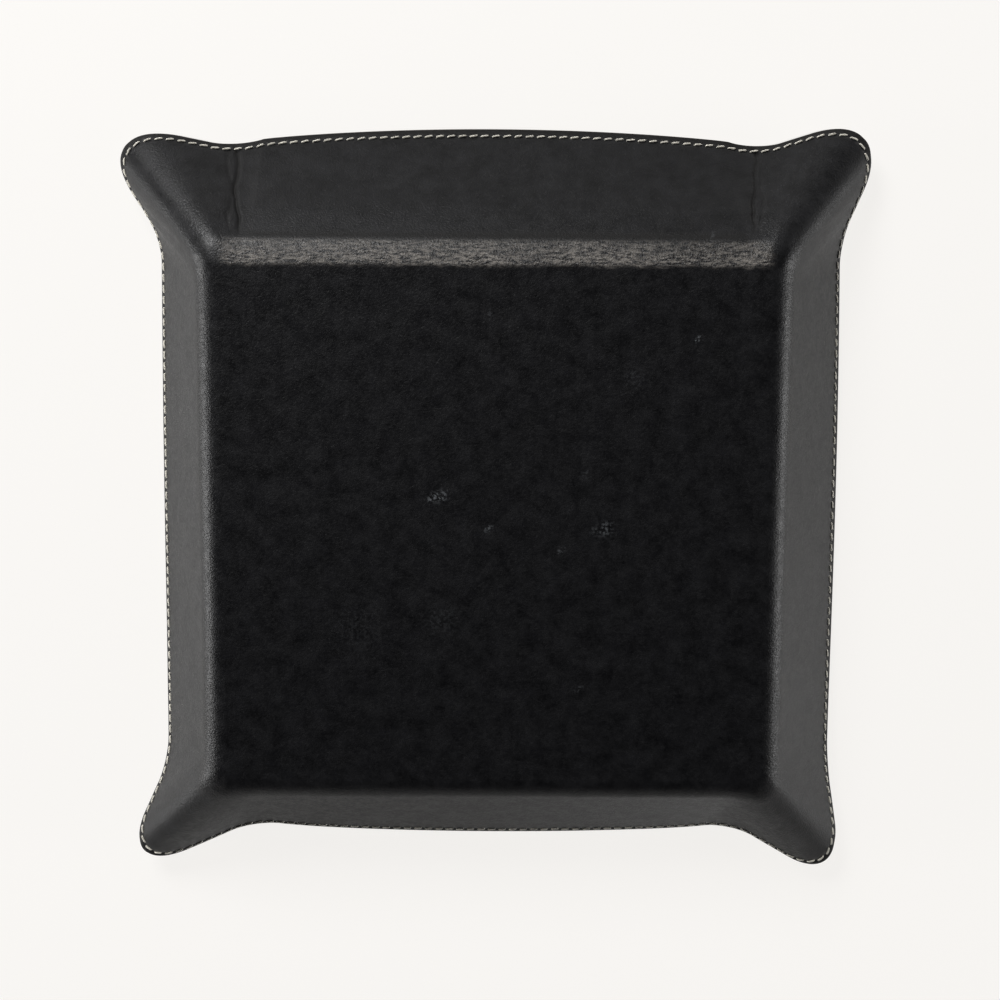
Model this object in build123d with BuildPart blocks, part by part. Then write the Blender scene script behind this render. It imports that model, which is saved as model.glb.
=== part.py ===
from build123d import *
import os
from math import asin, atan2, cos, hypot, radians, sin, sqrt, tan

# A leather valet tray: one hide folded up into four walls, its corners drawn out into ears, a lining
# glued inside it, stiff boards between the two and one line of stitching round the rim.
# Millimetres, +Z up, the front wall at -Y, the origin at the middle of the underside.

# Flat of the base, between its folds
base_width = 178.0
base_depth = 174.0
fold_radius = 9.0

# Walls: how far the face of each has come out from the flat at the gauge height, how much further
# out the long ones bow, and how far in from its creases each one has its shoulders
gauge_height = 37.0
back_spread = 37.0
left_spread = 28.8
front_spread = 28.5
right_spread = 24.6
back_bow = 3.4
front_bow = 3.2
back_shoulder_gap = 14.0
front_shoulder_gap = 32.0
side_shoulder_gap = 50.0

# Creases between the walls and the ears: how far in from the corners of the flat each one starts,
# how far back out along its wall it has run at the gauge height, and how far a side wall's
# two creases flare out beyond the wall there
crease_root_gap = 9.0
back_crease_run = 7.8
front_crease_run = 5.0
side_crease_run = 16.0
back_crease_flare = 0.9
front_crease_flare = 3.3
crease_root_blend = 1.5
crease_rim_blend = 10.3

# Ears: how far the ridge of each comes out from the corner of the flat at the gauge height,
# across the tray and along it, and how round it is
back_right_ear = (66.6, 59.5)
back_left_ear = (60.4, 64.6)
front_left_ear = (46.1, 61.5)
front_right_ear = (59.2, 61.5)
ear_fold_radius = 24.0
ear_root_radius = 6.0
back_ear_tip_radius = 14.3
front_ear_tip_radius = 11.3

# Rim, arched from the middle of each wall down to the tips of the ears
rim_mid_height = 38.0
ear_tip_height = 30.0
ear_tip_overhang = 33.0

# Layers, from the outside in
hide_thickness = 1.4
board_thickness = 1.2
lining_over_board = 0.8

# Boards: clear of the folds, the creases and the stitching
board_fold_gap = 1.5
board_crease_gap = 2.0
board_rim_gap = 8.0
board_corner_radius = 5.0

# Stitching: distance down from the rim at mid wall and at the ear tips
stitch_pitch = 3.75
stitch_length = 2.9
thread_diameter = 0.75
stitch_mid_drop = 2.6
stitch_tip_drop = 1.7
groove_width = 1.2
groove_depth = 0.45

# Cuts run past the rim by this much
overrun = 2.0

# Shapes without a size: curve handles of a rounded corner, steps up a fold, and how much of the
# thickness an ear's inner face loses from the roundness of its ridge
round_share = 0.55
fold_step_shares = (0.0, 0.06, 0.24, 0.55)
ear_inset_share = 0.8
straight_turn = 1e-4

# Corners of the outline that each wall has, and the places of some of them from the ear before it
wall_corners = 5
ear = 0
first_shoulder = 2
last_shoulder = 3
last_crease = 4

# Worked out from the sizes above
half_width = base_width / 2
half_depth = base_depth / 2
spreads = (back_spread, left_spread, front_spread, right_spread)
ear_tip_radii = (back_ear_tip_radius, back_ear_tip_radius, front_ear_tip_radius, front_ear_tip_radius)
board_face = hide_thickness
board_back = hide_thickness + board_thickness
total_thickness = board_back + lining_over_board
form_height = rim_mid_height + overrun
far = half_width + half_depth


def fold_slope(spread, radius):
    """Lean of a face that leaves the base in a fold and stands this far out at the gauge height."""
    rise = gauge_height - radius
    return atan2(rise, spread) + asin(radius / hypot(spread, rise))


def run_at(height, spread, radius, inset=0.0):
    """How far out a face, or a face this far inside it, has come at a height above the underside."""
    slope = fold_slope(spread, radius)
    inner_radius = radius - inset
    bend_top = radius - inner_radius * cos(slope)
    if height < bend_top:
        return sqrt(max(inner_radius ** 2 - (radius - height) ** 2, 0.0))
    return inner_radius * sin(slope) + (height - bend_top) / tan(slope)


def grown(root, rim, height):
    """A size that grows evenly from the underside to the gauge height."""
    return root + (rim - root) * height / gauge_height


def fold_top(spread):
    """Height at which a wall's fold ends and its straight lean begins."""
    return fold_radius * (1 - cos(fold_slope(spread, fold_radius)))


def moved_in(before, corner, after, before_inset, after_inset):
    """A corner of an anticlockwise outline, once the sides before and after it have moved in."""
    heading = (corner - before).normalized()
    next_heading = (after - corner).normalized()
    turn = heading.cross(next_heading).Z
    if abs(turn) < straight_turn:
        return corner + Vector(-heading.Y, heading.X) * before_inset
    return corner + (next_heading * before_inset - heading * after_inset) * (1 / turn)


def ear_corner(height, reach, toward_x, toward_y):
    """Where the ridge of an ear has come to at a height, on its side of the tray's middle."""
    across, along = reach
    share = run_at(height, hypot(across, along), ear_fold_radius) / hypot(across, along)
    return toward_x * (half_width + share * across), toward_y * (half_depth + share * along)


def outline_corners(height):
    """Corners of the tray at a height, anticlockwise from the back wall on: for each wall the ear
    before it, its first crease, the two shoulders that it bows between and its last crease."""
    back = half_depth + run_at(height, back_spread, fold_radius)
    left = half_width + run_at(height, left_spread, fold_radius)
    front = half_depth + run_at(height, front_spread, fold_radius)
    right = half_width + run_at(height, right_spread, fold_radius)
    back_out = half_depth + run_at(height, back_spread + back_bow, fold_radius)
    front_out = half_depth + run_at(height, front_spread + front_bow, fold_radius)
    back_x = half_width - crease_root_gap + grown(0, back_crease_run, height)
    front_x = half_width - crease_root_gap + grown(0, front_crease_run, height)
    side_y = half_depth - crease_root_gap + grown(0, side_crease_run, height)
    back_in = back_x - back_shoulder_gap
    front_in = front_x - front_shoulder_gap
    side_in = side_y - side_shoulder_gap
    back_flare = grown(0, back_crease_flare, height)
    front_flare = grown(0, front_crease_flare, height)
    corners = [
        ear_corner(height, back_right_ear, 1, 1),
        (back_x, back), (back_in, back_out), (-back_in, back_out), (-back_x, back),
        ear_corner(height, back_left_ear, -1, 1),
        (-left - back_flare, side_y), (-left, side_in), (-left, -side_in), (-left - front_flare, -side_y),
        ear_corner(height, front_left_ear, -1, -1),
        (-front_x, -front), (-front_in, -front_out), (front_in, -front_out), (front_x, -front),
        ear_corner(height, front_right_ear, 1, -1),
        (right + front_flare, -side_y), (right, -side_in), (right, side_in), (right + back_flare, side_y),
    ]
    return [Vector(x, y) for x, y in corners]


def layer_corners(height, inset):
    """The same corners for a face that lies this far inside the outer one."""
    corners = outline_corners(height)
    if inset == 0:
        return corners
    moves = [
        run_at(height, spread, fold_radius) - run_at(height, spread, fold_radius, inset)
        for spread in spreads
        for corner in range(wall_corners)
    ]
    following = corners[1:] + corners[:1]
    return [
        moved_in(corners[i - 1], corners[i], following[i], moves[i - 1], moves[i])
        for i in range(len(corners))
    ]


def draw_outline(height, inset):
    """Curves and lines of the outline: bowed walls, soft creases, straight flanks, rounded ears."""
    corners = layer_corners(height, inset)
    count = len(corners)
    crease_blend = grown(crease_root_blend, crease_rim_blend, height)
    starts = {}
    ends = {}
    for i, corner in enumerate(corners):
        to_before = (corners[i - 1] - corner).normalized()
        to_after = (corners[(i + 1) % count] - corner).normalized()
        blend = crease_blend
        if i % wall_corners == ear:
            tip_radius = ear_tip_radii[i // wall_corners]
            ear_radius = ear_root_radius + (tip_radius - ear_root_radius) * height / ear_tip_height
            ear_radius -= ear_inset_share * inset
            blend = ear_radius / tan(radians(to_before.get_angle(to_after)) / 2)
        starts[i] = corner + to_before * blend
        ends[i] = corner + to_after * blend
    for i, corner in enumerate(corners):
        place = i % wall_corners
        if place == first_shoulder:
            Bezier(ends[i - 1], corner, corners[i + 1], starts[i + 2])
        if place not in (first_shoulder, last_shoulder):
            first_handle = starts[i] + (corner - starts[i]) * round_share
            last_handle = ends[i] + (corner - ends[i]) * round_share
            Bezier(starts[i], first_handle, last_handle, ends[i])
        if place in (ear, last_crease):
            Line(ends[i], starts[(i + 1) % count])


def form(inset):
    """The tray as a solid block up to just above its rim, bounded by a face this far inside."""
    bend_top = fold_top(min(spreads))
    heights = [inset + (bend_top - inset) * share for share in fold_step_shares]
    with BuildPart() as block:
        for height in heights + [bend_top, form_height]:
            with BuildSketch(Plane.XY.offset(height)):
                with BuildLine():
                    draw_outline(height, inset)
                make_face()
        loft(ruled=True)
    return block.part


def above_rim(mid_drop, tip_drop):
    """The space over the rim, or over a line this far below it at mid wall and at the ear tips."""
    mid = rim_mid_height - mid_drop
    tip = ear_tip_height - tip_drop
    low = tip - overrun
    end = far + overrun
    with BuildPart() as space:
        with BuildSketch(Plane.XY.offset(low)):
            Rectangle(2 * far, 2 * far)
            Rectangle(base_width, base_depth, mode=Mode.SUBTRACT)
        extrude(amount=form_height + overrun - low)
        for across, half_flat in ((Plane.XZ, half_width), (Plane.YZ, half_depth)):
            half_span = half_flat + ear_tip_overhang
            with BuildSketch(across):
                with BuildLine():
                    ThreePointArc((-half_span, tip), (0, mid), (half_span, tip))
                    Polyline((half_span, tip), (end, tip), (end, low - overrun),
                             (-end, low - overrun), (-end, tip), (-half_span, tip))
                make_face()
            extrude(amount=end, both=True, mode=Mode.SUBTRACT)
    return space.part


def layer(outer_block, inner_block):
    """The even layer between two blocks of the tray."""
    with BuildPart() as skin:
        add(outer_block)
        add(inner_block, mode=Mode.SUBTRACT)
    return skin.part


def stitch_groove(outer_block, inner_block):
    """The shallow channel that the stitches lie in, between two blocks, along the rim."""
    half_groove = groove_width / 2
    with BuildPart() as groove:
        add(layer(outer_block, inner_block))
        add(above_rim(stitch_mid_drop - half_groove, stitch_tip_drop - half_groove), mode=Mode.SUBTRACT)
        add(above_rim(stitch_mid_drop + half_groove, stitch_tip_drop + half_groove), mode=Mode.INTERSECT)
    return groove.part


def stitches(block):
    """A row of stitches round the rim, half sunk in the face of a block."""
    with BuildPart() as trimmed:
        add(block)
        add(above_rim(stitch_mid_drop, stitch_tip_drop), mode=Mode.SUBTRACT)
    low = ear_tip_height / 2
    wall_faces = [
        face for face in trimmed.faces()
        if face.bounding_box().min.Z < low < face.bounding_box().max.Z
    ]
    line_edges = [
        edge for face in wall_faces for edge in face.edges() if edge.bounding_box().min.Z > low
    ]
    stitch_line = Wire(line_edges)
    radius = thread_diameter / 2
    straight = stitch_length - thread_diameter
    with BuildPart() as stitch:
        with BuildSketch(Plane.XZ):
            with BuildLine():
                Line((0, -straight / 2 - radius), (0, straight / 2 + radius))
                RadiusArc((0, straight / 2 + radius), (radius, straight / 2), radius)
                Line((radius, straight / 2), (radius, -straight / 2))
                RadiusArc((radius, -straight / 2), (0, -straight / 2 - radius), radius)
            make_face()
        revolve(axis=Axis.Z)
    count = round(stitch_line.length / stitch_pitch)
    places = [
        Plane(origin=stitch_line.position_at(i / count), z_dir=stitch_line.tangent_at(i / count)).location
        for i in range(count)
    ]
    return Compound(children=[stitch.part.solid().moved(place) for place in places])


def wall_board(board_layer, across, depth, toward):
    """The stiff board in one wall: across its length, from the fold up to below the stitching."""
    low = fold_top(min(spreads)) + board_fold_gap
    high = rim_mid_height - board_rim_gap
    with BuildPart() as board:
        add(board_layer)
        with BuildSketch(Plane.XY.offset(low)):
            with Locations(toward):
                Rectangle(across, depth)
        extrude(amount=high - low, mode=Mode.INTERSECT)
    return board.part


def finish(part, name):
    part.label = name
    export_step(part, f"parts/{name}.step")


os.makedirs("parts", exist_ok=True)

outer_block = form(0)
board_face_block = form(board_face)
board_back_block = form(board_back)
inner_block = form(total_thickness)
rim_space = above_rim(0, 0)
board_layer = layer(board_face_block, board_back_block)

# Boards: the base board lies flat inside the folds, and each wall has one of its own
with BuildPart() as base_board:
    with BuildSketch(Plane.XY.offset(board_face)):
        RectangleRounded(base_width - 2 * board_fold_gap, base_depth - 2 * board_fold_gap,
                         board_corner_radius)
    extrude(amount=board_thickness)

long_board = base_width - 2 * (crease_root_gap + board_crease_gap)
side_board = base_depth - 2 * (crease_root_gap + board_crease_gap)
wall_boards = {
    "wall_board_back": wall_board(board_layer, long_board, far, (0, far)),
    "wall_board_front": wall_board(board_layer, long_board, far, (0, -far)),
    "wall_board_left": wall_board(board_layer, far, side_board, (-far, 0)),
    "wall_board_right": wall_board(board_layer, far, side_board, (far, 0)),
}

# Hide: the outer leather, grooved for the stitching
with BuildPart() as outer_leather:
    add(outer_block)
    add(board_face_block, mode=Mode.SUBTRACT)
    add(rim_space, mode=Mode.SUBTRACT)
    add(stitch_groove(outer_block, form(groove_depth)), mode=Mode.SUBTRACT)

# Lining: thinned where the boards lie, so that it meets the hide all round them
with BuildPart() as lining:
    add(board_face_block)
    add(inner_block, mode=Mode.SUBTRACT)
    add(rim_space, mode=Mode.SUBTRACT)
    add(base_board.part, mode=Mode.SUBTRACT)
    for board in wall_boards.values():
        add(board, mode=Mode.SUBTRACT)
    add(stitch_groove(form(total_thickness - groove_depth), inner_block), mode=Mode.SUBTRACT)

finish(outer_leather.part, "outer_leather")
finish(lining.part, "lining")
finish(base_board.part, "base_board")
for name, board in wall_boards.items():
    finish(board, name)
finish(stitches(outer_block), "needle_thread")
finish(stitches(inner_block), "bobbin_thread")
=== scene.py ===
import math

import bpy
import numpy as np
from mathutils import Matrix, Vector, noise


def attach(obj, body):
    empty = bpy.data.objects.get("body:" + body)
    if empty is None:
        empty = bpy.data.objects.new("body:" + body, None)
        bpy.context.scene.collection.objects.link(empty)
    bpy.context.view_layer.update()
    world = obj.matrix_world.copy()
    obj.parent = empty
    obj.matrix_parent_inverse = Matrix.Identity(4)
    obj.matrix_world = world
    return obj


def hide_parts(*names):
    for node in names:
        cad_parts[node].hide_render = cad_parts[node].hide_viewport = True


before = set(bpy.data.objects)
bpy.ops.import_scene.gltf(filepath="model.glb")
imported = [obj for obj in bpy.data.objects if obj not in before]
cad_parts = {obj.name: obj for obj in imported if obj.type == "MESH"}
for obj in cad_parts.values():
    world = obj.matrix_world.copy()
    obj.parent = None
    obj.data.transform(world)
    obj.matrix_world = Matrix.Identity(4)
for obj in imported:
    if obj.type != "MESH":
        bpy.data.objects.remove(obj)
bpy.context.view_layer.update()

# A black leather valet tray, seen from below as in the photograph: it lies upside down there.
# The hide is worked out in millimetres from the tray's own sizes, then handed over in metres.
MM = 0.001

# Flat of the base and the walls round it
HALF_WIDTH = 89.0
HALF_DEPTH = 87.0
FOLD_RADIUS = 9.0
GAUGE_HEIGHT = 37.0
SPREADS = (37.0, 28.8, 28.5, 24.6)
BOWS = (3.4, 0.0, 3.2, 0.0)
CREASE_ROOT_GAP = 9.0
BACK_CREASE_RUN = 7.8
FRONT_CREASE_RUN = 5.0
SIDE_CREASE_RUN = 16.0
BACK_CREASE_FLARE = 0.9
FRONT_CREASE_FLARE = 3.3
CREASE_ROOT_BLEND = 1.5
CREASE_RIM_BLEND = 10.3
BACK_SHOULDER_GAP = 14.0
FRONT_SHOULDER_GAP = 32.0
SIDE_SHOULDER_GAP = 50.0

# Ears, in the order of the outline: across and along reach of the ridge, and the tip's roundness
EARS = ((66.6, 59.5), (-60.4, 64.6), (-46.1, -61.5), (59.2, -61.5))
EAR_TIP_RADII = (14.3, 14.3, 11.3, 11.3)
EAR_FOLD_RADIUS = 24.0
EAR_ROOT_RADIUS = 6.0

# Rim and stitching
RIM_MID_HEIGHT = 38.0
EAR_TIP_HEIGHT = 30.0
EAR_TIP_OVERHANG = 33.0
STITCH_MID_DROP = 2.6
STITCH_TIP_DROP = 1.7
STITCH_PITCH = 3.75
STITCH_LENGTH = 2.95
STITCH_SLANT = 0.3
THREAD_RADIUS = 0.34
GROOVE_DEPTH = 0.3
GROOVE_SPREAD = 0.22
ABOVE_RIM = 2.0

# Layers: hide, lining, the boards between them and the film of glue
HIDE = 1.4
BOARD = 1.2
LINING = 0.8
GLUE = 0.02
BOARD_FOLD_GAP = 1.5
BOARD_CREASE_GAP = 2.0
BOARD_RIM_GAP = 8.0

# The back wall's fold is worn into a facet: where it starts, ends and has died out, and its slopes
BACK_FOLD_START = 84.0
BACK_FOLD_END = 92.6
BACK_FOLD_SETTLED = 104.0
BACK_FOLD_SLOPES = (11.0, 29.0)
FACET_ROUNDING = 0.12
FACET_STEPS = 60

# Where the wrinkles at the ends of the back wall's board start and finish, across from the middle
WRINKLE_FOOT = 82.2
WRINKLE_TOP = 87.0
WRINKLE_GAP = 2.6
WRINKLE_DEPTHS = (0.8, 0.2)

# Rubs and specks on the underside: where, how wide and how strong
RUBS = (
    (45.7, -35.5, 7.0, 0.04), (17.5, -32.3, 4.5, 0.06), (17.5, 9.3, 1.5, 0.8), (20.5, 8.7, 1.0, 0.7),
    (-36.6, -1.3, 1.8, 0.5), (-33.5, -1.9, 0.9, 0.5), (1.3, 68.5, 0.6, 1.0), (-65.5, 60.9, 0.7, 1.0),
    (-69.5, 93.4, 0.9, 1.0), (1.5, -1.7, 0.6, 0.9), (-28.0, -55.5, 0.6, 0.9), (-45.0, 48.5, 3.0, 0.06),
    (-28.9, 16.7, 0.6, 0.9), (-21.6, -8.3, 0.6, 0.8),
)

# Points across half an ear, a straight flank, a crease and the middle of a wall
EAR_POINTS, FLANK_POINTS, CREASE_POINTS, MIDDLE_POINTS = 14, 26, 26, 110
SIDE_POINTS = 2 * (EAR_POINTS + FLANK_POINTS + CREASE_POINTS) + MIDDLE_POINTS

# The outline has five corners for each wall: ear, crease, two shoulders and crease
WALL_CORNERS = 5
ALL_CORNERS = 4 * WALL_CORNERS
ROUND_SHARE = 0.55

# Rows round the fold, up the wall and, in stitch drops below the rim, across the groove
BEND_ROWS = 12
WALL_ROWS = 30
GROOVE_ROWS = (2.4, 1.9, 1.55, 1.35, 1.17, 1.0, 0.83, 0.65, 0.4, 0.2, 0.0)
RIM_TRIES = 25

# A stitch: stations from its middle to both ends, and points round the thread
STITCH_STATIONS = (-1.0, -0.95, -0.86, -0.7, -0.4, 0.0, 0.4, 0.7, 0.86, 0.95, 1.0)
THREAD_POINTS = 10

# Rounded edge of the hide, in pairs: how far down the wall and how deep under the outer face
HIDE_EDGE = [(0.4, 0.02), (0.15, 0.16), (0.02, 0.42), (0.0, 0.8), (0.08, 1.12), (0.3, 1.36)]

# The stage: the table under the tray, the sheet at its rim and the spot that the lamps face
TABLE_DROP = 0.4
TABLE_REACH = 4.0
SHEET_OVER_RIM = 2.2
SHEET_REACH = 5.0
LAMP_TARGET = (0.0, 0.0, 0.02)


def smooth(low, high, value):
    """Nought below low, one above high, and an easy slope between."""
    share = np.clip((value - low) / (high - low), 0.0, 1.0)
    return share * share * (3.0 - 2.0 * share)


def unit(vectors):
    return vectors / np.maximum(np.linalg.norm(vectors, axis=-1, keepdims=True), 1e-9)


def wander(points, size, seed):
    """Smooth noise from -1 to 1 over an array of points, with lumps of this size."""
    flat = points.reshape(-1, points.shape[-1]) / size + seed
    found = [noise.noise(Vector(point)) for point in flat]
    return np.array(found).reshape(points.shape[:-1])


def fold_slope(spread, radius):
    rise = GAUGE_HEIGHT - radius
    return math.atan2(rise, spread) + math.asin(radius / math.hypot(spread, rise))


def run_at(height, spread, radius):
    """How far out a wall has come at a height: round its fold, then straight."""
    slope = fold_slope(spread, radius)
    bend_top = radius * (1 - math.cos(slope))
    in_bend = np.sqrt(np.maximum(radius ** 2 - (radius - height) ** 2, 0.0))
    straight = radius * math.sin(slope) + (height - bend_top) / math.tan(slope)
    return np.where(height < bend_top, in_bend, straight)


def ear_corner(height, ear):
    """Where the ridge of an ear has come to at each height."""
    across, along_way = ear
    reach = math.hypot(across, along_way)
    share = run_at(height, reach, EAR_FOLD_RADIUS) / reach
    return (math.copysign(HALF_WIDTH, across) + share * across,
            math.copysign(HALF_DEPTH, along_way) + share * along_way)


def outline_corners(height):
    """The outline's corners at each height, from the back wall round by the left one."""
    up = height / GAUGE_HEIGHT
    back_x = HALF_WIDTH - CREASE_ROOT_GAP + BACK_CREASE_RUN * up
    front_x = HALF_WIDTH - CREASE_ROOT_GAP + FRONT_CREASE_RUN * up
    side_y = HALF_DEPTH - CREASE_ROOT_GAP + SIDE_CREASE_RUN * up
    back_flare = BACK_CREASE_FLARE * up
    front_flare = FRONT_CREASE_FLARE * up
    flats = (HALF_DEPTH, HALF_WIDTH, HALF_DEPTH, HALF_WIDTH)
    back, left, front, right = [
        flat + run_at(height, spread, FOLD_RADIUS) for flat, spread in zip(flats, SPREADS)
    ]
    back_out, left_out, front_out, right_out = [
        flat + run_at(height, spread + bow, FOLD_RADIUS)
        for flat, spread, bow in zip(flats, SPREADS, BOWS)
    ]
    back_in, front_in = back_x - BACK_SHOULDER_GAP, front_x - FRONT_SHOULDER_GAP
    side_in = side_y - SIDE_SHOULDER_GAP
    corners = [
        ear_corner(height, EARS[0]),
        (back_x, back), (back_in, back_out), (-back_in, back_out), (-back_x, back),
        ear_corner(height, EARS[1]), (-left - back_flare, side_y),
        (-left_out, side_in), (-left_out, -side_in), (-left - front_flare, -side_y),
        ear_corner(height, EARS[2]),
        (-front_x, -front), (-front_in, -front_out), (front_in, -front_out), (front_x, -front),
        ear_corner(height, EARS[3]), (right + front_flare, -side_y),
        (right_out, -side_in), (right_out, side_in), (right + back_flare, side_y),
    ]
    return np.stack([np.stack(corner, axis=-1) for corner in corners], axis=1)


def along(controls, shares):
    """Points of a curve with these control points, one row of them for each height."""
    level = [control[:, None, :] for control in controls]
    while len(level) > 1:
        level = [a + (b - a) * shares[None, :, None] for a, b in zip(level, level[1:])]
    return level[0]


def outline(height):
    """The outer face's outline at each height, from the middle of the first ear round to it."""
    corners = outline_corners(height)
    to_before = unit(np.roll(corners, 1, axis=1) - corners)
    to_after = unit(np.roll(corners, -1, axis=1) - corners)
    blend = CREASE_ROOT_BLEND + (CREASE_RIM_BLEND - CREASE_ROOT_BLEND) * height / GAUGE_HEIGHT
    blends = np.repeat(blend[:, None], ALL_CORNERS, axis=1)
    half_angle = np.arccos(np.clip((to_before * to_after).sum(axis=-1), -1, 1)) / 2
    growth = np.array(EAR_TIP_RADII) - EAR_ROOT_RADIUS
    ear_radius = EAR_ROOT_RADIUS + growth * height[:, None] / EAR_TIP_HEIGHT
    blends[:, ::WALL_CORNERS] = ear_radius / np.tan(half_angle[:, ::WALL_CORNERS])
    starts = corners + to_before * blends[..., None]
    ends = corners + to_after * blends[..., None]

    def rounded(i):
        corner = corners[:, i]
        first = starts[:, i] + (corner - starts[:, i]) * ROUND_SHARE
        last = ends[:, i] + (corner - ends[:, i]) * ROUND_SHARE
        return starts[:, i], first, last, ends[:, i]

    def shares(count, low=0.0, high=1.0):
        return np.linspace(low, high, count, endpoint=False)

    pieces = []
    for ear in range(0, ALL_CORNERS, WALL_CORNERS):
        crease, shoulder, far_shoulder, far_crease = range(ear + 1, ear + WALL_CORNERS)
        next_ear = (ear + WALL_CORNERS) % ALL_CORNERS
        bow = (ends[:, crease], corners[:, shoulder], corners[:, far_shoulder], starts[:, far_crease])
        pieces += [
            along(rounded(ear), shares(EAR_POINTS, 0.5, 1.0)),
            along((ends[:, ear], starts[:, crease]), shares(FLANK_POINTS)),
            along(rounded(crease), shares(CREASE_POINTS)),
            along(bow, shares(MIDDLE_POINTS)),
            along(rounded(far_crease), shares(CREASE_POINTS)),
            along((ends[:, far_crease], starts[:, next_ear]), shares(FLANK_POINTS)),
            along(rounded(next_ear), shares(EAR_POINTS, 0.0, 0.5)),
        ]
    return np.concatenate(pieces, axis=1)


def arch(across, half_flat, mid_drop, tip_drop):
    """Height of the rim's arc, or of a line below it, this far across from its middle."""
    half_span = half_flat + EAR_TIP_OVERHANG
    tip = EAR_TIP_HEIGHT - tip_drop
    rise = RIM_MID_HEIGHT - mid_drop - tip
    radius = (half_span ** 2 + rise ** 2) / (2 * rise)
    inside = np.minimum(np.abs(across), half_span)
    return tip + rise - radius + np.sqrt(radius ** 2 - inside ** 2)


def rim_points(foot, top, drop_share):
    """Where each column from foot to top meets the rim, or the line this many stitch drops below."""
    mid_drop = STITCH_MID_DROP * drop_share
    tip_drop = STITCH_TIP_DROP * drop_share
    points = top
    for _ in range(RIM_TRIES):
        height = np.maximum(
            arch(points[:, 0], HALF_WIDTH, mid_drop, tip_drop),
            arch(points[:, 1], HALF_DEPTH, mid_drop, tip_drop),
        )
        share = (height - foot[:, 2]) / (top[:, 2] - foot[:, 2])
        points = foot + (top - foot) * share[:, None]
    return points


def with_height(plan, height):
    return np.concatenate([plan, np.broadcast_to(height, plan.shape[:-1])[..., None]], axis=-1)


def wall_rows():
    """Rows of the outer face from the edge of the flat round the fold and up to the rim."""
    slope = fold_slope(min(SPREADS), FOLD_RADIUS)
    angles = np.linspace(0.0, slope, BEND_ROWS)
    heights = FOLD_RADIUS * (1 - np.cos(angles))
    bend = with_height(outline(heights), heights[:, None])
    foot = bend[-1]
    above = RIM_MID_HEIGHT + ABOVE_RIM
    top = with_height(outline(np.array([above])), above)[0]
    groove = [rim_points(foot, top, share) for share in GROOVE_ROWS]
    lifts = np.linspace(0.0, 1.0, WALL_ROWS)[1:-1]
    straight = [foot + (groove[0] - foot) * lift for lift in lifts]
    return np.concatenate([bend, straight, groove])


def base_grid(border):
    """A grid of points over the flat, inside a border of four sides."""
    count = SIDE_POINTS
    sides = [border[np.arange(k * count, (k + 1) * count + 1) % (4 * count)] for k in range(4)]
    back, left, front, right = sides[0], sides[1], sides[2][::-1], sides[3][::-1]
    u = np.linspace(0, 1, count + 1)[None, :, None]
    v = np.linspace(0, 1, count + 1)[:, None, None]
    ruled = (1 - v) * back[None] + v * front[None] + (1 - u) * right[:, None] + u * left[:, None]
    corner = (
        (1 - u) * (1 - v) * back[0] + u * (1 - v) * back[-1]
        + (1 - u) * v * front[0] + u * v * front[-1]
    )
    return ruled - corner


def back_fold(points, rim):
    """Lifts the outer face into the back fold's flat facet, easing out at its two ends."""
    x, y, z = points[..., 0], points[..., 1], points[..., 2]
    share = 1 - smooth(HALF_WIDTH - 8, HALF_WIDTH + 6, np.abs(x))
    steps = np.linspace(BACK_FOLD_START, BACK_FOLD_END, FACET_STEPS)
    into = (steps - BACK_FOLD_START) / (BACK_FOLD_END - BACK_FOLD_START)
    low, high = BACK_FOLD_SLOPES
    slopes = np.tan(np.radians(smooth(0.0, FACET_ROUNDING, into) * (low + (high - low) * into)))
    rises = np.concatenate([[0.0], np.cumsum((slopes[1:] + slopes[:-1]) / 2 * np.diff(steps))])
    curved = np.interp(y, steps, rises)
    rim_y, rim_z = rim[..., 1], rim[..., 2]
    beyond = np.maximum(y - BACK_FOLD_END, 0.0)
    slope = (rim_z - curved) / np.maximum(rim_y - BACK_FOLD_END, 1.0)
    lifted = curved + beyond * slope
    share = share * (1 - smooth(BACK_FOLD_END, BACK_FOLD_SETTLED, y))
    return np.where(y > BACK_FOLD_START, z + share * (lifted - z), z)


def round_normals(rows):
    """Outward directions over rows of columns that run round the tray."""
    round_way = np.roll(rows, -1, axis=1) - np.roll(rows, 1, axis=1)
    return unit(np.cross(round_way, np.gradient(rows, axis=0)))


def grid_normals(grid):
    """Outward directions over the flat's grid, which all point down."""
    found = unit(np.cross(np.gradient(grid, axis=1), np.gradient(grid, axis=0)))
    return np.where(found[..., 2:] > 0, -found, found)


def leather_waves(points):
    """Slow unevenness of a stretched hide, out or in along its face, least where it lies flat."""
    on_wall = smooth(0.5, 8.0, points[..., 2])
    waves = (0.05 + 0.08 * on_wall) * wander(points, 38.0, 3.1)
    ripples = 0.03 * wander(points, 13.0, 8.4)
    return waves + ripples


def crease_wrinkles(points):
    """Wrinkles where the back wall's board ends and the hide turns into an ear."""
    x, y, z = np.abs(points[..., 0]), points[..., 1], points[..., 2]
    crease = WRINKLE_FOOT + (WRINKLE_TOP - WRINKLE_FOOT) * z / RIM_MID_HEIGHT
    along_crease = np.stack([np.sign(points[..., 0]) * 40.0, z, z * 0.0], axis=-1)
    sway = wander(along_crease, 6.0, 1.7) + 0.5 * wander(along_crease, 2.2, 5.2)
    first = x - crease - 0.9 * sway
    second = x - crease - WRINKLE_GAP + 1.3 * sway
    fade = smooth(4.0, 9.0, z) * (1 - smooth(RIM_MID_HEIGHT - 7, RIM_MID_HEIGHT - 3, z)) * (y > 0)
    deep, shallow = WRINKLE_DEPTHS
    near = np.exp(-(first / 0.55) ** 2) * deep + np.exp(-(second / 0.6) ** 2) * shallow
    return -near * fade


def below_rim(values):
    """One value for each row of the walls: these on the last rows below the rim, else nought."""
    rows = np.zeros((len(WALLS), 1))
    rows[-len(values):, 0] = values
    return rows


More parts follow.
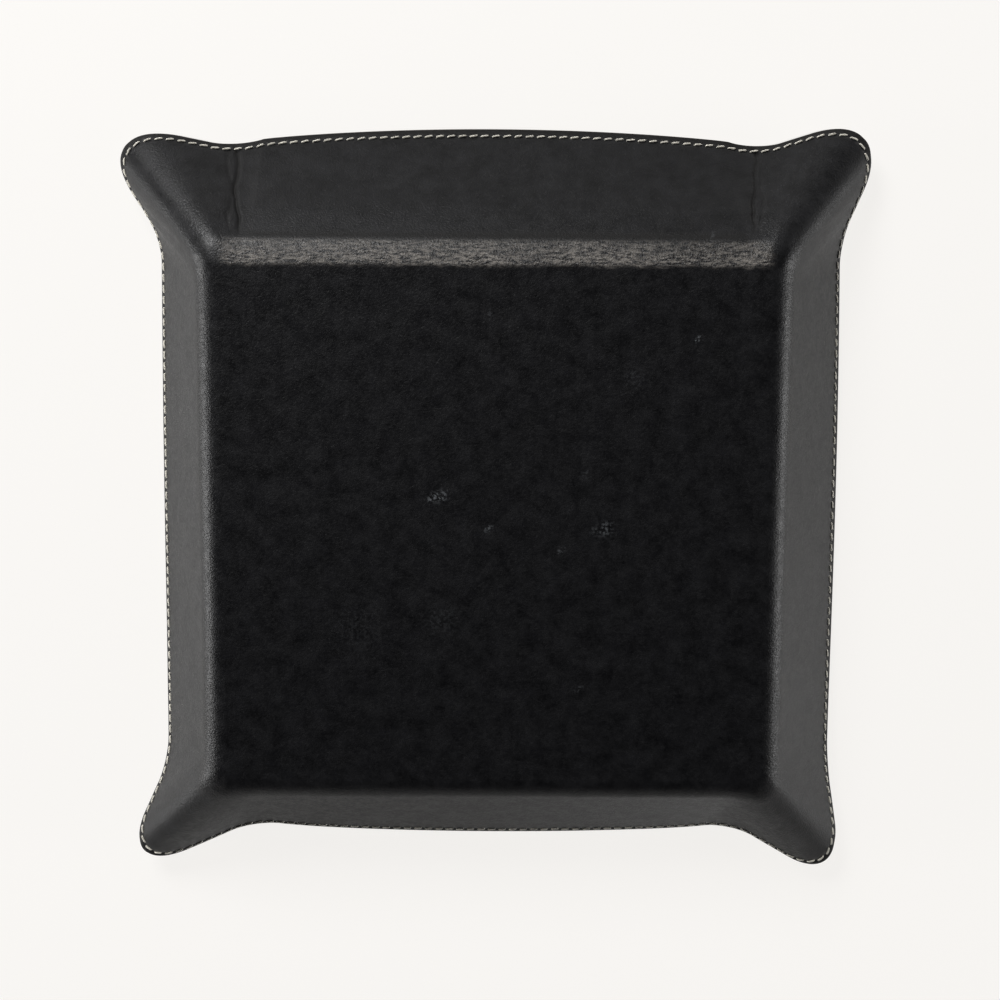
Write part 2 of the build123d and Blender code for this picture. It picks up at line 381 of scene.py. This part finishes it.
def groove_dip():
    """Depth of the stitching groove on each row of the walls."""
    from_stitches = (np.array(GROOVE_ROWS) - 1.0) / GROOVE_SPREAD
    return below_rim(-GROOVE_DEPTH * np.exp(-from_stitches ** 2))


def board_cover(points):
    """One over the boards, nought beside them, with the leather's slope between the two."""
    x, y, z = np.abs(points[..., 0]), np.abs(points[..., 1]), points[..., 2]
    low = FOLD_RADIUS * (1 - math.cos(fold_slope(min(SPREADS), FOLD_RADIUS))) + BOARD_FOLD_GAP
    high = RIM_MID_HEIGHT - BOARD_RIM_GAP
    up_wall = smooth(low - 1.2, low, z) * (1 - smooth(high, high + 1.6, z))
    long_end = HALF_WIDTH - CREASE_ROOT_GAP - BOARD_CREASE_GAP
    side_end = HALF_DEPTH - CREASE_ROOT_GAP - BOARD_CREASE_GAP
    long_wall = (1 - smooth(long_end, long_end + 2.5, x)) * (y > HALF_DEPTH)
    side_wall = (1 - smooth(side_end, side_end + 2.5, y)) * (x > HALF_WIDTH)
    in_base = (1 - smooth(HALF_WIDTH - 1.5, HALF_WIDTH + 1.0, x))
    in_base = in_base * (1 - smooth(HALF_DEPTH - 1.5, HALF_DEPTH + 1.0, y))
    return np.maximum(up_wall * np.maximum(long_wall, side_wall), in_base)


def new_piece(name, points, faces):
    """A piece of these points, in metres, and faces, put into the scene."""
    mesh = bpy.data.meshes.new(name)
    mesh.from_pydata(points, [], faces)
    piece = bpy.data.objects.new(name, mesh)
    bpy.context.collection.objects.link(piece)
    return piece


class Leather:
    """Points and faces of one leather piece, gathered row by row."""

    def __init__(self):
        self.points = []
        self.faces = []
        self.edge_faces = set()
        # Per-point values of wear, some of which carry painted highlight and painted shade
        self.wear = {"fold_wear": [], "dulled": [], "rubbed": []}
        self.count = 0

    def add_rows(self, rows, **wear):
        """Stores rows of points with the wear, painted highlight and painted shade on them, and returns
        their numbers.
        """
        numbers = np.arange(rows[..., 0].size).reshape(rows.shape[:-1]) + self.count
        self.points.append(rows.reshape(-1, 3))
        for name, values in self.wear.items():
            values.append(np.broadcast_to(wear.get(name, 0.0), rows.shape[:-1]).reshape(-1))
        self.count += rows[..., 0].size
        return numbers

    def join_round(self, rows, outward=True, edge=False):
        """Faces between rows that close on themselves."""
        after = np.roll(rows, -1, axis=1)
        quads = np.stack([rows[:-1], after[:-1], after[1:], rows[1:]], axis=-1).reshape(-1, 4)
        self.keep(quads, outward, edge)

    def join_grid(self, grid, outward=True):
        quads = np.stack([grid[:-1, :-1], grid[:-1, 1:], grid[1:, 1:], grid[1:, :-1]], axis=-1)
        self.keep(quads.reshape(-1, 4), outward, False)

    def keep(self, quads, outward, edge):
        if not outward:
            quads = quads[:, ::-1]
        if edge:
            self.edge_faces.update(range(len(self.faces), len(self.faces) + len(quads)))
        self.faces.extend(quads.tolist())

    def make(self, name):
        """The finished piece, smooth, with its wear, painted highlight and painted shade, and its edge
        faces marked.
        """
        points = np.concatenate(self.points) * MM
        piece = new_piece(name, points.tolist(), self.faces)
        for face in piece.data.polygons:
            face.use_smooth = True
            if face.index in self.edge_faces:
                face.material_index = 1
        for kind, values in self.wear.items():
            worn = piece.data.attributes.new(kind, "FLOAT", "POINT")
            worn.data.foreach_set("value", np.concatenate(values).astype(np.float32))
        return piece


def grid_border(grid):
    """A square grid's border points in the order of the columns round the tray."""
    return np.concatenate([grid[0, :-1], grid[:-1, -1], grid[-1, :0:-1], grid[:0:-1, 0]])


# The outer face before any relief, with the directions that the layers are measured along.
# The flat ends before the facet does, so any rim point would do for its share of the fold.
WALLS = wall_rows()
BASE = base_grid(WALLS[0])
BASE[..., 2] = back_fold(BASE, WALLS[-1, 0])
WALLS[..., 2] = back_fold(WALLS, WALLS[-1])
WALL_OUT = round_normals(WALLS)
BASE_OUT = grid_normals(BASE)
WALL_OUT[0] = grid_border(BASE_OUT)

# Every third row is enough where the layers are glued together
GLUED_ROWS = list(range(len(WALLS) - 4, 0, -3))


def fold_wear(points):
    """How much the hide's grain is stretched open, with a painted highlight on it: most along the back
    fold.
    """
    x, y, z = np.abs(points[..., 0]), points[..., 1], points[..., 2]
    ragged = 0.7 * wander(points, 2.5, 4.6)
    back = smooth(BACK_FOLD_START - 0.8, BACK_FOLD_START + 1.6, y + ragged)
    back = back * (1 - smooth(BACK_FOLD_END - 1.2, BACK_FOLD_END + 0.2, y + 0.4 * ragged))
    back = back * (1 - smooth(HALF_WIDTH - 4, HALF_WIDTH + 1, x + 2 * ragged))
    # The stretch and its painted highlight fade towards the wall side of the facet
    fading = 1 - 0.4 * smooth(BACK_FOLD_START + 1.5, BACK_FOLD_END - 1.6, y)
    back = back * (0.9 + 0.4 * wander(points, 18.0, 2.2)) * fading
    other_folds = 0.05 * smooth(0.2, 1.2, z) * (1 - smooth(4.0, 7.0, z)) * (y < HALF_DEPTH)
    return np.maximum(back, other_folds)


def rubbed(points):
    """Faint rubs, scuffs and specks on the underside, from its use."""
    marks = np.zeros(points.shape[:-1])
    for x, y, size, strength in RUBS:
        far_off = np.hypot(points[..., 0] - x, points[..., 1] - y) / size
        marks += strength * np.exp(-far_off ** 2)
    return np.minimum(marks, 1.0)


def edge_band():
    """One on the burnished band between the stitching and the rim, nought below it."""
    return below_rim(1 - smooth(0.75, 1.1, np.array(GROOVE_ROWS)))


def dull_and_shaded_places():
    """Where the outer face is dull and dark: the inked band by the rim, and painted shade in the
    wrinkles and along the line by the facet.
    """
    x, y = np.abs(WALLS[..., 0]), WALLS[..., 1]
    # A painted dark line of shade along the crease just above the facet
    facet_line_shade = 0.9 * np.exp(-((y - BACK_FOLD_END - 0.9) / 1.2) ** 2)
    facet_line_shade *= 1 - smooth(HALF_WIDTH - 12, HALF_WIDTH - 4, x)
    # The wrinkles get painted shade, darker where they are deeper
    return np.clip(edge_band() - 1.2 * crease_wrinkles(WALLS) + facet_line_shade, 0.0, 1.0)


def edge_rows(profile):
    """Rows of a rim edge from pairs: how far down the wall and how deep under the outer face."""
    down = unit(WALLS[-2] - WALLS[-1])
    return np.stack([WALLS[-1] + down * drop - WALL_OUT[-1] * depth for drop, depth in profile])


def under(points, outward, depths):
    """The points of the outer face moved in by these depths."""
    return points - outward * np.asarray(depths)[..., None]


def outer_hide():
    """The hide: outer face, rounded rim edge and the flesh side that the boards are glued to."""
    leather = Leather()
    relief = leather_waves(WALLS) + crease_wrinkles(WALLS) + groove_dip()
    base_relief = leather_waves(BASE) * 0.6
    relief[0] = grid_border(base_relief)
    relief[1:BEND_ROWS] *= np.linspace(0.65, 1.0, BEND_ROWS - 1)[:, None]
    face = WALLS + WALL_OUT * relief[..., None]
    base = BASE + BASE_OUT * base_relief[..., None]
    base_numbers = leather.add_rows(base, fold_wear=fold_wear(BASE), rubbed=rubbed(BASE))
    leather.join_grid(base_numbers, outward=False)
    wall_numbers = leather.add_rows(face[1:-1], fold_wear=fold_wear(WALLS[1:-1]),
                                    rubbed=rubbed(WALLS[1:-1]), dulled=dull_and_shaded_places()[1:-1])
    leather.join_round(np.concatenate([grid_border(base_numbers)[None], wall_numbers]))
    edge_numbers = leather.add_rows(edge_rows(HIDE_EDGE), dulled=1.0)
    leather.join_round(np.concatenate([wall_numbers[-1:], edge_numbers]), edge=True)
    flesh_numbers = leather.add_rows(WALLS[GLUED_ROWS] - WALL_OUT[GLUED_ROWS] * HIDE)
    leather.join_round(np.concatenate([edge_numbers[-1:], flesh_numbers]))
    base_flesh = leather.add_rows(BASE - BASE_OUT * HIDE)
    leather.join_round(np.stack([flesh_numbers[-1], grid_border(base_flesh)]))
    leather.join_grid(base_flesh)
    return leather.make("hide_outside")


def inner_lining():
    """The lining: dips round every board, rounded at the rim and glued to hide and boards."""
    leather = Leather()
    wall_cover = board_cover(WALLS)
    base_cover = board_cover(BASE)
    depth = HIDE + LINING + BOARD * wall_cover
    depth -= 0.5 * leather_waves(WALLS) * wall_cover
    depth += groove_dip()
    base_depth = HIDE + LINING + BOARD * base_cover - 0.4 * leather_waves(BASE)
    depth[0] = grid_border(base_depth)
    inside = leather.add_rows(under(BASE, BASE_OUT, base_depth))
    leather.join_grid(inside)
    walls = leather.add_rows(under(WALLS[1:-1], WALL_OUT[1:-1], depth[1:-1]),
                             dulled=edge_band()[1:-1])
    leather.join_round(np.concatenate([grid_border(inside)[None], walls]), outward=False)
    far = HIDE + LINING
    edge = edge_rows([(0.4, far - 0.02), (0.15, far - 0.1), (0.02, far - 0.26),
                      (0.02, HIDE + 0.26), (0.12, HIDE + 0.1), (0.3, HIDE + 0.03)])
    edge_numbers = leather.add_rows(edge, dulled=1.0)
    leather.join_round(np.concatenate([walls[-1:], edge_numbers]), outward=False, edge=True)
    cover = HIDE + GLUE + BOARD * wall_cover[GLUED_ROWS]
    glued = leather.add_rows(under(WALLS[GLUED_ROWS], WALL_OUT[GLUED_ROWS], cover))
    leather.join_round(np.concatenate([edge_numbers[-1:], glued]), outward=False)
    base_glued = leather.add_rows(under(BASE, BASE_OUT, HIDE + GLUE + BOARD * base_cover))
    leather.join_round(np.stack([glued[-1], grid_border(base_glued)]), outward=False)
    leather.join_grid(base_glued, outward=False)
    return leather.make("lining_inside")


def row_of_stitches(name, depth, face_sign):
    """Slanted two-ply stitches round the rim, each diving into its needle holes at both ends."""
    stitch_row = len(WALLS) - len(GROOVE_ROWS) + GROOVE_ROWS.index(1.0)
    line = WALLS[stitch_row] - WALL_OUT[stitch_row] * depth
    outward = WALL_OUT[stitch_row] * face_sign
    steps = np.linalg.norm(np.roll(line, -1, axis=0) - line, axis=1)
    travelled = np.concatenate([[0.0], np.cumsum(steps)])
    line_loop = np.concatenate([line, line[:1]])
    outward_loop = np.concatenate([outward, outward[:1]])
    count = round(travelled[-1] / STITCH_PITCH)
    pitch = travelled[-1] / count

    def at(distance):
        distance = distance % travelled[-1]
        place = [np.interp(distance, travelled, line_loop[:, axis]) for axis in range(3)]
        facing = [np.interp(distance, travelled, outward_loop[:, axis]) for axis in range(3)]
        return np.array(place), unit(np.array(facing))

    half_length = STITCH_LENGTH / 2
    turns = np.linspace(0.0, 2 * math.pi, THREAD_POINTS, endpoint=False)
    points, faces = [], []
    for number in range(count):
        start = len(points)
        middle = number * pitch
        jitter = noise.noise(Vector((number * 0.37, depth, 0.5)))
        tilt = noise.noise(Vector((number * 0.61, depth, 7.5)))
        reach = half_length * (1 + 0.05 * jitter)
        before, _ = at(middle - reach)
        after, _ = at(middle + reach)
        _, facing = at(middle)
        ahead = unit(after - before)
        aside = np.cross(facing, ahead)
        for station in STITCH_STATIONS:
            spot, _ = at(middle + station * (reach - THREAD_RADIUS * 0.3))
            rise = 0.08 - 0.2 * abs(station) ** 4 + 0.03 * jitter
            slant = station * (STITCH_SLANT + 0.08 * tilt) * face_sign
            spot = spot + facing * rise + aside * slant
            past_end = max(abs(station) - 0.7, 0.0) / 0.3
            thin = THREAD_RADIUS * math.sqrt(max(1 - past_end ** 2.4, 0.04))
            for turn in turns:
                ply = 1 + 0.06 * math.cos(2 * turn - station * 5.0)
                ring_point = (aside * math.cos(turn) + facing * math.sin(turn)) * thin * ply
                points.append(spot + ring_point)
        last = len(points) - THREAD_POINTS
        for row in range(start, last, THREAD_POINTS):
            for k in range(THREAD_POINTS):
                a, b = row + k, row + (k + 1) % THREAD_POINTS
                faces.append((a, b, b + THREAD_POINTS, a + THREAD_POINTS))
        faces.append(tuple(start + k for k in reversed(range(THREAD_POINTS))))
        faces.append(tuple(last + k for k in range(THREAD_POINTS)))
    piece = new_piece(name, (np.array(points) * MM).tolist(), faces)
    for face in piece.data.polygons:
        face.use_smooth = True
    return piece


def linear(hex_colour):
    """An sRGB hex colour as linear red, green, blue and alpha."""
    parts = [int(hex_colour[i:i + 2], 16) / 255 for i in (1, 3, 5)]
    return [p / 12.92 if p <= 0.04045 else ((p + 0.055) / 1.055) ** 2.4 for p in parts] + [1.0]


def per(size_mm):
    """Pattern scale that gives features of this size."""
    return 1.0 / (size_mm * MM)


def node(material, kind, values=None, **settings):
    """Adds a node with its settings; a value that is a socket is linked, any other is set."""
    tree = material.node_tree
    made = tree.nodes.new(kind)
    for name, setting in settings.items():
        setattr(made, name, setting)
    for name, value in (values or {}).items():
        if isinstance(value, bpy.types.NodeSocket):
            tree.links.new(value, made.inputs[name])
        else:
            made.inputs[name].default_value = value
    return made


def new_material(name):
    material = bpy.data.materials.new(name)
    material.use_nodes = True
    material.node_tree.nodes.clear()
    return material


def show(material, surface):
    output = node(material, "ShaderNodeOutputMaterial")
    material.node_tree.links.new(surface, output.inputs["Surface"])
    return material


def waxed_black_cowhide(name, dark, light, roughness, grain_mm, worn):
    """Full-grain cowhide, drum dyed black and waxed: near black, a low soft shine, fine pebbled
    grain that opens where it is stretched over a fold, and a few pale rubs."""
    hide = new_material(name)
    place = node(hide, "ShaderNodeTexCoord").outputs["Object"]

    # Dye that took unevenly, in soft patches about 7 mm across
    cloud = node(hide, "ShaderNodeTexNoise",
                 {"Vector": place, "Scale": per(7), "Detail": 9.0, "Roughness": 0.7})
    patchy = node(hide, "ShaderNodeMapRange",
                  {"Value": cloud.outputs["Fac"], "From Min": 0.36, "From Max": 0.64})
    dyed = node(hide, "ShaderNodeMix",
                {"Factor": patchy.outputs[0], "A": linear(dark), "B": linear(light)}, data_type="RGBA")
    stretch = node(hide, "ShaderNodeAttribute", attribute_name="fold_wear").outputs["Fac"]
    marks = node(hide, "ShaderNodeAttribute", attribute_name="rubbed").outputs["Fac"]
    # Dull finish of the inked band, plus painted shade in the wrinkles and by the facet
    band = node(hide, "ShaderNodeAttribute", attribute_name="dulled").outputs["Fac"]

    # The grain's real pebbles are too fine to show at this distance, so they are drawn coarser
    pebbles = node(hide, "ShaderNodeTexVoronoi",
                   {"Vector": place, "Scale": per(grain_mm), "Randomness": 1.0}, feature="SMOOTH_F1")
    pores = node(hide, "ShaderNodeTexNoise",
                 {"Vector": place, "Scale": per(grain_mm / 2), "Detail": 3.0})
    grain = node(hide, "ShaderNodeMath", {0: pebbles.outputs["Distance"], 1: pores.outputs["Fac"]},
                 operation="ADD")

    # On a fold the grain is drawn out along it, and its tops are made pale: partly real wear, partly a
    # painted highlight
    drawn = node(hide, "ShaderNodeMapping", {"Vector": place, "Scale": (0.3, 1.0, 1.0)}).outputs[0]
    creases = node(hide, "ShaderNodeTexNoise",
                   {"Vector": drawn, "Scale": per(0.8), "Detail": 5.0, "Roughness": 0.75})
    tops = node(hide, "ShaderNodeMapRange",
                {"Value": creases.outputs["Fac"], "From Min": 0.43, "From Max": 0.6,
                 "To Max": 0.95 * worn})
    pale_tops_wear_and_highlight = node(hide, "ShaderNodeMath", {0: tops.outputs[0], 1: stretch}, operation="MULTIPLY")
    # Pale colour on the grain's tops over the back fold: partly real wear, partly a painted highlight
    paled_wear_and_highlight = node(hide, "ShaderNodeMix",
                 {"Factor": pale_tops_wear_and_highlight.outputs[0], "A": dyed.outputs["Result"], "B": linear("#938d86")},
                 data_type="RGBA")

    # Scuffs break up into specks; the band by the rim is inked darker, and the deep creases and the
    # line by the facet are darkened with painted shade
    flecks = node(hide, "ShaderNodeTexNoise", {"Vector": place, "Scale": per(1.1), "Detail": 4.0})
    specks = node(hide, "ShaderNodeMapRange",
                  {"Value": flecks.outputs["Fac"], "From Min": 0.48, "From Max": 0.58})
    broken = node(hide, "ShaderNodeMath", {0: marks, 1: specks.outputs[0]}, operation="MULTIPLY")
    scuffed = node(hide, "ShaderNodeMix",
                   {"Factor": broken.outputs[0], "A": paled_wear_and_highlight.outputs["Result"], "B": linear("#8b8f93")},
                   data_type="RGBA")
    # Darker colour on the inked band by the rim, and painted shade in the wrinkles and along the line
    # by the facet
    inked = node(hide, "ShaderNodeMix",
                 {"Factor": band, "A": scuffed.outputs["Result"], "B": linear("#0d0b0a")},
                 data_type="RGBA")

    # Relief of the grain, stronger where it is stretched, and of the hide's fine crossing lines
    strength = node(hide, "ShaderNodeMapRange",
                    {"Value": stretch, "To Min": 0.4, "To Max": 0.4 + 0.6 * worn})
    fine = node(hide, "ShaderNodeBump",
                {"Height": grain.outputs[0], "Strength": strength.outputs[0], "Distance": 0.18 * MM})
    lines = node(hide, "ShaderNodeTexVoronoi", {"Vector": place, "Scale": per(5.5)},
                 feature="DISTANCE_TO_EDGE")
    hairs = node(hide, "ShaderNodeMapRange", {"Value": lines.outputs["Distance"], "From Max": 0.05})
    creased = node(hide, "ShaderNodeBump",
                   {"Height": hairs.outputs[0], "Strength": 0.12, "Distance": 0.15 * MM,
                    "Normal": fine.outputs["Normal"]})

    # Wax polished by handling, so the shine comes and goes
    rubs = node(hide, "ShaderNodeTexNoise",
                {"Vector": place, "Scale": per(5), "Detail": 6.0, "Distortion": 1.2})
    mottle = node(hide, "ShaderNodeMath", {0: rubs.outputs["Fac"], 1: flecks.outputs["Fac"]},
                  operation="ADD")
    waxed = node(hide, "ShaderNodeMapRange",
                 {"Value": mottle.outputs[0], "From Min": 0.8, "From Max": 1.2,
                  "To Min": roughness - 0.07, "To Max": roughness + 0.07})
    rough = node(hide, "ShaderNodeMath", {0: band, 1: 0.25, 2: waxed.outputs[0]},
                 operation="MULTIPLY_ADD")
    skin = node(hide, "ShaderNodeBsdfPrincipled",
                {"Base Color": inked.outputs["Result"], "Roughness": rough.outputs[0], "IOR": 1.5,
                 "Specular IOR Level": 0.5, "Normal": creased.outputs["Normal"]})
    return show(hide, skin.outputs[0])


def inked_edge():
    """Cut edge of the leather, inked brown-black and burnished: dull, with pressed fibres, which
    are too fine to show and so are drawn coarser."""
    edge = new_material("inked_leather_edge")
    place = node(edge, "ShaderNodeTexCoord").outputs["Object"]
    fibres = node(edge, "ShaderNodeTexNoise", {"Vector": place, "Scale": per(0.9), "Detail": 4.0})
    colour = node(edge, "ShaderNodeMix",
                  {"Factor": fibres.outputs["Fac"], "A": linear("#14100e"), "B": linear("#2a201b")},
                  data_type="RGBA")
    pressed = node(edge, "ShaderNodeBump",
                   {"Height": fibres.outputs["Fac"], "Strength": 0.4, "Distance": 0.1 * MM})
    skin = node(edge, "ShaderNodeBsdfPrincipled",
                {"Base Color": colour.outputs["Result"], "Roughness": 0.62,
                 "Normal": pressed.outputs["Normal"]})
    return show(edge, skin.outputs[0])


def bonded_polyester_thread():
    """Bonded polyester thread, cream: a soft sheen with the fine lines of its twisted plies. Its
    fibres are too fine to show, so they are drawn coarser."""
    thread = new_material("bonded_polyester_thread")
    place = node(thread, "ShaderNodeTexCoord").outputs["Object"]
    fibres = node(thread, "ShaderNodeTexNoise", {"Vector": place, "Scale": per(0.5), "Detail": 3.0})
    colour = node(thread, "ShaderNodeMix",
                  {"Factor": fibres.outputs["Fac"], "A": linear("#e4decd"), "B": linear("#fbf7ec")},
                  data_type="RGBA")
    plies = node(thread, "ShaderNodeBump",
                 {"Height": fibres.outputs["Fac"], "Strength": 0.5, "Distance": 0.08 * MM})
    skin = node(thread, "ShaderNodeBsdfPrincipled",
                {"Base Color": colour.outputs["Result"], "Roughness": 0.55, "Sheen Weight": 0.3,
                 "Normal": plies.outputs["Normal"]})
    return show(thread, skin.outputs[0])


def pressed_greyboard():
    """Pressed greyboard inside the walls and base: matt, flecked with paper fibre, which is too
    fine to show and so is drawn coarser."""
    board = new_material("pressed_greyboard")
    place = node(board, "ShaderNodeTexCoord").outputs["Object"]
    flecks = node(board, "ShaderNodeTexNoise", {"Vector": place, "Scale": per(1.5), "Detail": 5.0})
    colour = node(board, "ShaderNodeMix",
                  {"Factor": flecks.outputs["Fac"], "A": linear("#7d7264"), "B": linear("#a2978a")},
                  data_type="RGBA")
    fibre = node(board, "ShaderNodeBump",
                 {"Height": flecks.outputs["Fac"], "Strength": 0.3, "Distance": 0.1 * MM})
    skin = node(board, "ShaderNodeBsdfPrincipled",
                {"Base Color": colour.outputs["Result"], "Roughness": 0.9,
                 "Normal": fibre.outputs["Normal"]})
    return show(board, skin.outputs[0])


def pale_sheet(name, shade, glow, mirrored, even):
    """A matt pale sheet that shows one side only. Glow is how bright it looks, mirrored how bright
    it is in reflections at the front, the left and the right, and even is how far its shadows are
    lifted, where nought leaves them in full."""
    sheet = new_material(name)
    # In reflections the sheet shows a set glow, not lit by the lamps: painted shade at the front and
    # painted light to the left and right
    front_share, left_share, right_share = mirrored
    place = node(sheet, "ShaderNodeTexCoord").outputs["Object"]
    across = node(sheet, "ShaderNodeSeparateXYZ", {0: place}).outputs["X"]
    near, far = 90 * MM, 130 * MM
    left = node(sheet, "ShaderNodeMapRange",
                {"Value": across, "From Min": near, "From Max": far,
                 "To Max": left_share - front_share})
    right = node(sheet, "ShaderNodeMapRange",
                 {"Value": across, "From Min": -near, "From Max": -far,
                  "To Max": right_share - front_share})
    aside = node(sheet, "ShaderNodeMath", {0: left.outputs[0], 1: right.outputs[0]}, operation="ADD")
    painted_reflection_glow = node(sheet, "ShaderNodeMath", {0: aside.outputs[0], 1: front_share}, operation="ADD")
    cloth = node(sheet, "ShaderNodeBsdfDiffuse", {"Color": linear(shade)})
    path = node(sheet, "ShaderNodeLightPath")
    to_eye = node(sheet, "ShaderNodeMath", {0: path.outputs["Is Camera Ray"], 1: even},
                  operation="MULTIPLY")
    share = node(sheet, "ShaderNodeMath", {0: to_eye.outputs[0], 1: path.outputs["Is Glossy Ray"]},
                 operation="ADD")
    strength = node(sheet, "ShaderNodeMapRange",
                    {"Value": path.outputs["Is Camera Ray"],
                     "To Min": painted_reflection_glow.outputs[0], "To Max": glow})
    bright = node(sheet, "ShaderNodeEmission",
                  {"Color": linear(shade), "Strength": strength.outputs[0]})
    front = node(sheet, "ShaderNodeMixShader",
                 {0: share.outputs[0], 1: cloth.outputs[0], 2: bright.outputs[0]})
    clear = node(sheet, "ShaderNodeBsdfTransparent")
    side = node(sheet, "ShaderNodeNewGeometry").outputs["Backfacing"]
    surface = node(sheet, "ShaderNodeMixShader", {0: side, 1: front.outputs[0], 2: clear.outputs[0]})
    return show(sheet, surface.outputs[0])


def stage_sheet(name, points, faces, material):
    """A sheet of the stage, which throws no shadow."""
    sheet = new_piece(name, points, faces)
    sheet.data.materials.append(material)
    sheet.visible_shadow = False
    sheet.visible_diffuse = False
    return sheet


def table_top():
    """The floor that the tray stands on, seen from above only."""
    ways = ((-1, -1), (1, -1), (1, 1), (-1, 1))
    points = [(TABLE_REACH * x, TABLE_REACH * y, -TABLE_DROP * MM) for x, y in ways]
    finish = pale_sheet("pale_table", "#e6e4e1", 0.8, (0.3, 0.3, 0.3), 0.5)
    sheet = stage_sheet("table_top", points, [(0, 1, 2, 3)], finish)
    sheet.visible_glossy = False


def sheet_over_rim():
    """The sheet that the upturned tray lies on, seen from below only, open inside the rim."""
    rim = WALLS[-1] * MM
    height = (RIM_MID_HEIGHT + SHEET_OVER_RIM) * MM
    angles = np.arctan2(rim[:, 1], rim[:, 0])
    outside = np.stack([np.cos(angles), np.sin(angles)], axis=-1) * SHEET_REACH
    points = [(x, y, height) for x, y, _ in rim] + [(x, y, height) for x, y in outside]
    count = len(rim)
    faces = []
    for k in range(count):
        after = (k + 1) % count
        faces.append((k, after, count + after, count + k))
    # Painted reflection glow of the sheet: dim at the front, brighter to the left and right
    finish = pale_sheet("pale_sheet", "#f2f0ed", 1.2, (0.33, 0.76, 0.64), 0.8)
    stage_sheet("sheet_over_rim", points, faces, finish)


def soft_lamp(name, place, size, power):
    """A flat lamp that faces the tray, with its place and size in metres and power in watts."""
    lamp = bpy.data.lights.new(name, "AREA")
    lamp.shape = "RECTANGLE"
    lamp.size, lamp.size_y = size
    lamp.energy = power
    holder = bpy.data.objects.new(name, lamp)
    holder.location = place
    facing = Vector(LAMP_TARGET) - Vector(place)
    holder.rotation_euler = facing.to_track_quat("-Z", "Y").to_euler()
    bpy.context.collection.objects.link(holder)


def studio_light():
    """Soft light over the tray, and a window's light from behind and below for the upturned view."""
    soft_lamp("key_above", (-0.6, -0.8, 1.1), (0.9, 0.9), 12.0)
    soft_lamp("fill_above", (0.9, 0.2, 0.9), (1.0, 1.0), 6.0)
    soft_lamp("window_behind", (0.48, 0.92, -0.8), (0.5, 0.45), 11.0)
    soft_lamp("side_left", (1.0, -0.12, -0.18), (0.45, 0.3), 3.4)
    soft_lamp("side_right", (-1.0, -0.12, -0.18), (0.45, 0.3), 2.8)
    world = bpy.data.worlds.new("studio")
    bpy.context.scene.world = world
    world.use_nodes = True
    world.node_tree.nodes.clear()
    way = node(world, "ShaderNodeTexCoord").outputs["Generated"]
    height = node(world, "ShaderNodeSeparateXYZ", {0: way}).outputs["Z"]
    upper = node(world, "ShaderNodeMapRange", {"Value": height, "From Min": -0.35, "From Max": 0.25})
    room = node(world, "ShaderNodeMix",
                {"Factor": upper.outputs[0], "A": linear("#1f1f21"), "B": linear("#cfcfd0")},
                data_type="RGBA")
    path = node(world, "ShaderNodeLightPath")
    seen = node(world, "ShaderNodeMix",
                {"Factor": path.outputs["Is Camera Ray"], "A": room.outputs["Result"],
                 "B": linear("#efedea")}, data_type="RGBA")
    light = node(world, "ShaderNodeBackground", {"Color": seen.outputs["Result"], "Strength": 1.0})
    output = node(world, "ShaderNodeOutputWorld")
    world.node_tree.links.new(light.outputs[0], output.inputs["Surface"])


def photograph_camera():
    """The photograph's view, from under the tray and a little towards its back."""
    data = bpy.data.cameras.new("photograph")
    data.sensor_width = 36.0
    data.lens = 66.6
    data.clip_start = 0.01
    camera = bpy.data.objects.new("photograph", data)
    camera.location = (0.26 * MM, 110.26 * MM, -595.35 * MM)
    camera.rotation_euler = [math.radians(turn) for turn in (170.269, 0.151, 179.649)]
    bpy.context.collection.objects.link(camera)
    bpy.context.scene.camera = camera


cowhide = waxed_black_cowhide("waxed_black_cowhide", "#0b0b0d", "#1f1f21", 0.40, 0.6, 1.0)
lining_leather = waxed_black_cowhide("smooth_lining_leather", "#0d0d0e", "#161617", 0.46, 0.7, 0.0)
edge_finish = inked_edge()
thread = bonded_polyester_thread()
greyboard = pressed_greyboard()

hide_outside = outer_hide()
lining_inside = inner_lining()
needle_row = row_of_stitches("needle_stitches", 0.0, 1.0)
bobbin_row = row_of_stitches("bobbin_stitches", HIDE + LINING, -1.0)

for piece, node_name, slot, finishes in (
    (hide_outside, "outer_leather", "outer_leather", (cowhide, edge_finish)),
    (lining_inside, "lining", "lining_leather", (lining_leather, edge_finish)),
    (needle_row, "needle_thread", "thread", (thread,)),
    (bobbin_row, "bobbin_thread", "thread", (thread,)),
):
    for finish in finishes:
        piece.data.materials.append(finish)
    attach(piece, "root")
    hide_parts(node_name)

for name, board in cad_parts.items():
    if "board" in name:
        for slot in board.material_slots:
            slot.material = greyboard

table_top()
sheet_over_rim()
studio_light()
photograph_camera()
bpy.context.scene.view_settings.view_transform = "Standard"
